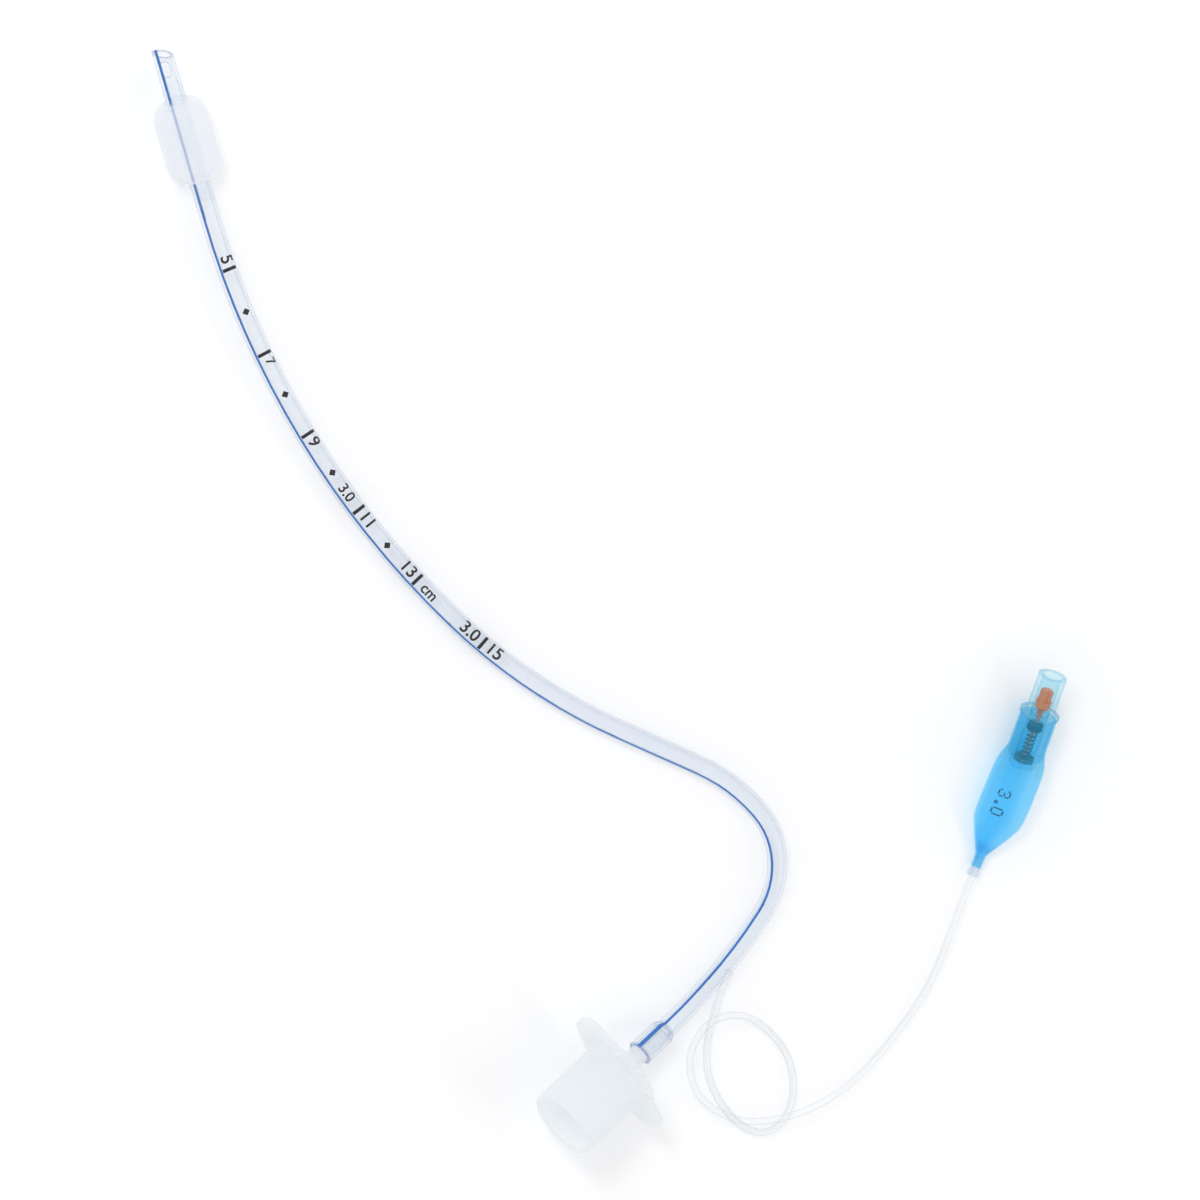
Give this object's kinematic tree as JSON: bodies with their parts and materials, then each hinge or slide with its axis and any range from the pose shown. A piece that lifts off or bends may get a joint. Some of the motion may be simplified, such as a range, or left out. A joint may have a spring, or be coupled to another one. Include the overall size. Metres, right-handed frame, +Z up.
{
  "type": "cuffed endotracheal tube",
  "caption": "Cuffed nasal endotracheal tube with side eye, 15 mm machine-end connector, pilot line, pilot balloon and spring-loaded inflation valve.",
  "frame": {"origin": "middle of the laid-out tube and connector on the floor they lie on, with the pilot line and what is on it left out", "axes": "+Z up from the floor, +Y from the connector end towards the cuffed tip, +X towards the pilot balloon"},
  "size_m": [0.1927, 0.2401, 0.0218],
  "materials": {
    "clear_tube": "clear soft vinyl, glossy",
    "blue_line": "opaque, set in the wall",
    "frosted_film": "thin frosted film",
    "milky_plastic": "milky, satin",
    "clear_line": "clear soft vinyl",
    "blue_film": "tinted clear film, glossy",
    "clear_collar": "clear, glossy",
    "pale_blue_plastic": "tinted clear, glossy",
    "orange_plastic": "satin",
    "dark_rubber": "matt",
    "spring_steel": "drawn wire",
    "seat_plastic": "satin"
  },
  "bodies": {
    "tube_set": {"airway_tube": "clear_tube", "xray_line": "blue_line", "cuff": "frosted_film", "connector": "milky_plastic", "pilot_line": "clear_line", "pilot_balloon": "blue_film", "neck_ferrule": "clear_collar", "valve_housing": "pale_blue_plastic", "valve_spring": "spring_steel", "spring_seat": "seat_plastic"},
    "plunger": {"valve_plunger": "orange_plastic", "valve_seal": "dark_rubber"}
  },
  "joints": [
    {"name": "valve_press", "type": "slide", "parent": "tube_set", "child": "plunger", "axis": [-0.2706, -0.9436, -0.1908], "range_m": [0, 0.0015], "stiffness_N_per_m": 400, "springref_m": -0.0015, "deforming": ["valve_spring"]}
  ]
}
